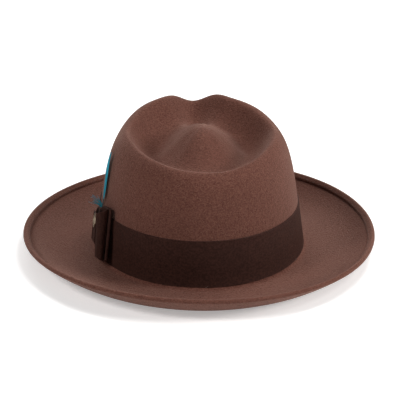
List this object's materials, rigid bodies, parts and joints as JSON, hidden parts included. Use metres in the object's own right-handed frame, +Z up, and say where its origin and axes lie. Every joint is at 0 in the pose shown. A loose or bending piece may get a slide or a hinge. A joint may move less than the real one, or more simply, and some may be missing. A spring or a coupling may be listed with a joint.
{
  "type": "fedora hat",
  "caption": "Fedora hat with a teardrop crown, upturned welted brim, ribbon band with a flat bow, feather and stud pin, sweatband and lining.",
  "frame": {"origin": "middle of the hat's bounding box on the surface that the brim rests on", "axes": "+Z up, +Y towards the front of the hat (the pinched end), +X the wearer's right; the bow is on the wearer's left, at -X"},
  "size_m": [0.2942, 0.3246, 0.115],
  "materials": {
    "felt": "brushed wool felt, matt, with a soft nap",
    "welt_thread": "matt sewing thread",
    "ribbon": "ribbed grosgrain, dull sheen",
    "quill": null,
    "feather": null,
    "down": null,
    "pin_metal": "antiqued, worn at the rim",
    "leather": "smooth sweatband leather, satin",
    "reed": "smooth cord",
    "tape": "plain woven tape",
    "leather_thread": "matt sewing thread",
    "lining": "satin weave lining with a soft sheen",
    "piping": "corded satin piping",
    "clear_sheet": null,
    "label": "blank woven tab"
  },
  "bodies": {
    "hat": {"felt_body": "felt", "welt_stitching": "welt_thread", "ribbon_band": "ribbon", "ribbon_tacks": "welt_thread", "bow_inner_loop": "ribbon", "bow_outer_loop": "ribbon", "bow_knot": "ribbon", "sweatband": "leather", "sweatband_reed": "reed", "reed_tape": "tape", "sweatband_stitching": "leather_thread", "sweatband_bow": "tape", "lining_side": "lining", "lining_tip": "lining", "lining_piping": "piping", "tip_shield": "clear_sheet", "size_label": "label"},
    "feather": {"feather_quill": "quill", "feather_vanes": "feather", "feather_barbs": "down"},
    "pin": {"pin_head": "pin_metal", "pin_post": "pin_metal", "pin_clutch": "pin_metal"}
  },
  "joints": [
    {"name": "feather_slide", "type": "slide", "parent": "hat", "child": "feather", "axis": [0.1231, 0.2186, 0.968], "range_m": [0, 0.045]},
    {"name": "pin_spin", "type": "hinge", "parent": "hat", "child": "pin", "pos_m": [-0.08232, -0.02095, 0.032], "axis": [-0.9864, -0.0805, 0.1436], "continuous": true}
  ]
}
